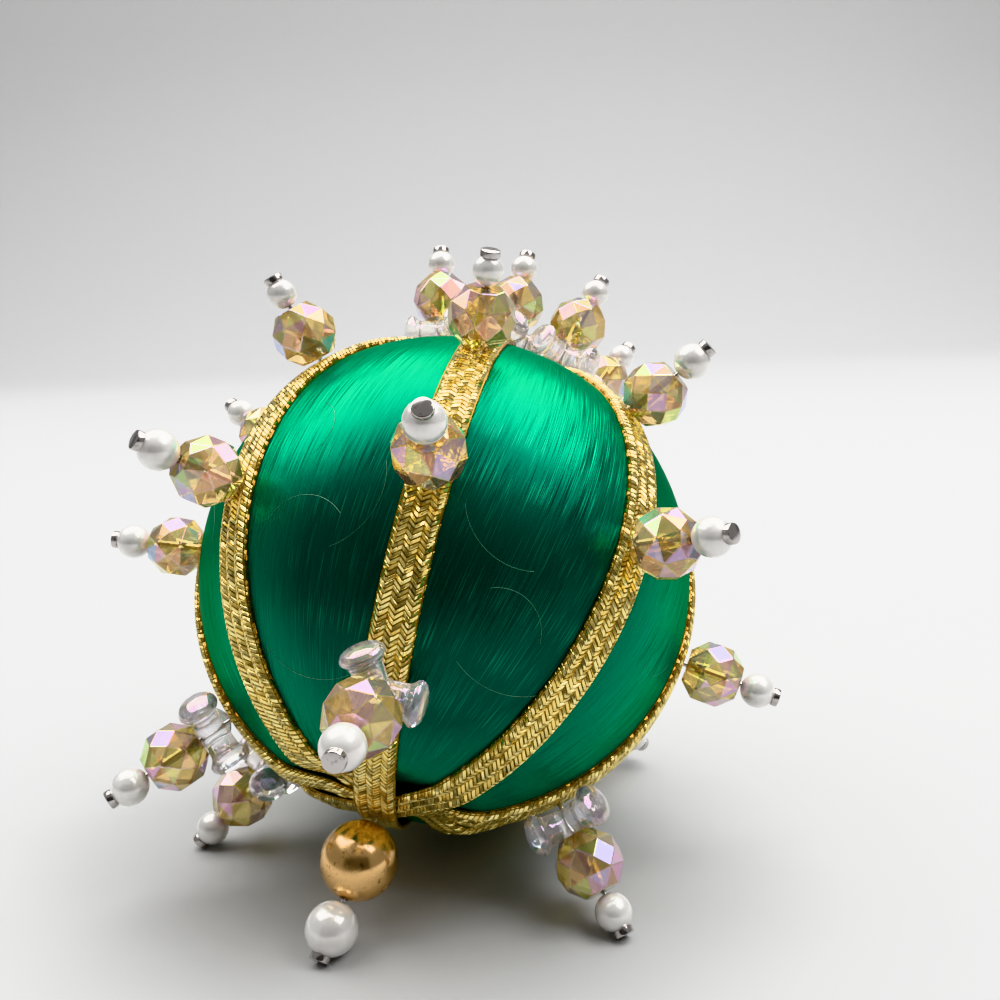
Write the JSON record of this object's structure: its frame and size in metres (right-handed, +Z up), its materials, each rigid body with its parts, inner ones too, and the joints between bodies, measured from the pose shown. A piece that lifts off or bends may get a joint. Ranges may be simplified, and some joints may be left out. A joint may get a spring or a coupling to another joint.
{
  "type": "beaded pin ball ornament",
  "caption": "Satin-wound ball bound with flat gold braid and set with pinned bead stacks, lying on its side on four pin heads.",
  "frame": {"origin": "middle of the whole part's box, on the surface it lies on", "axes": "+Z up, +Y away from the side that shows the braid crossing low down, +X to the right of it"},
  "size_m": [0.087, 0.0922, 0.0784],
  "materials": {
    "satin_thread": "glossy wound satin thread",
    "gold_braid": "flat metallic gold braid",
    "amber_crystal": "faceted clear amber with a rainbow coating",
    "clear_bead": "clear plastic with a rainbow coating",
    "pearl": "pearl coating",
    "pin_steel": "nickel-plated pin",
    "old_gold": "worn old-gold plating"
  },
  "bodies": {
    "root": {"ball": "satin_thread", "braid_loop_0": "gold_braid", "braid_loop_1": "gold_braid", "braid_loop_2": "gold_braid", "braid_loop_3": "gold_braid", "crystal_crown_0": "amber_crystal", "crystal_crown_1": "amber_crystal", "crystal_crown_2": "amber_crystal", "crystal_crown_7": "amber_crystal", "crystal_lower_0": "amber_crystal", "crystal_lower_2": "amber_crystal", "crystal_lower_5": "amber_crystal", "crystal_lower_6": "amber_crystal", "crystal_middle_0": "amber_crystal", "crystal_middle_1": "amber_crystal", "crystal_middle_2": "amber_crystal", "crystal_middle_3": "amber_crystal", "crystal_middle_4": "amber_crystal", "crystal_middle_5": "amber_crystal", "crystal_middle_6": "amber_crystal", "crystal_middle_7": "amber_crystal", "crystal_upper_0": "amber_crystal", "crystal_upper_1": "amber_crystal", "crystal_upper_6": "amber_crystal", "crystal_upper_7": "amber_crystal", "gold_bead_foot": "old_gold", "pin_crown_0": "pearl", "pin_crown_1": "pearl", "pin_crown_2": "pearl", "pin_crown_7": "pearl", "pin_foot": "pearl", "pin_lower_0": "pearl", "pin_lower_2": "pearl", "pin_lower_5": "pearl", "pin_lower_6": "pearl", "pin_middle_0": "pearl", "pin_middle_1": "pearl", "pin_middle_2": "pearl", "pin_middle_3": "pearl", "pin_middle_4": "pearl", "pin_middle_5": "pearl", "pin_middle_6": "pearl", "pin_middle_7": "pearl", "pin_upper_0": "pearl", "pin_upper_1": "pearl", "pin_upper_6": "pearl", "pin_upper_7": "pearl", "stack_crown_3": "pearl", "stack_crown_4": "pearl", "stack_upper_3": "pearl", "stack_upper_4": "pearl", "stack_upper_5": "pearl", "tri_bead_crown_0": "clear_bead", "tri_bead_crown_1": "clear_bead", "tri_bead_crown_2": "clear_bead", "tri_bead_crown_7": "clear_bead", "tri_bead_lower_0": "clear_bead", "tri_bead_lower_2": "clear_bead", "tri_bead_lower_5": "clear_bead", "tri_bead_lower_6": "clear_bead"}
  },
  "joints": []
}
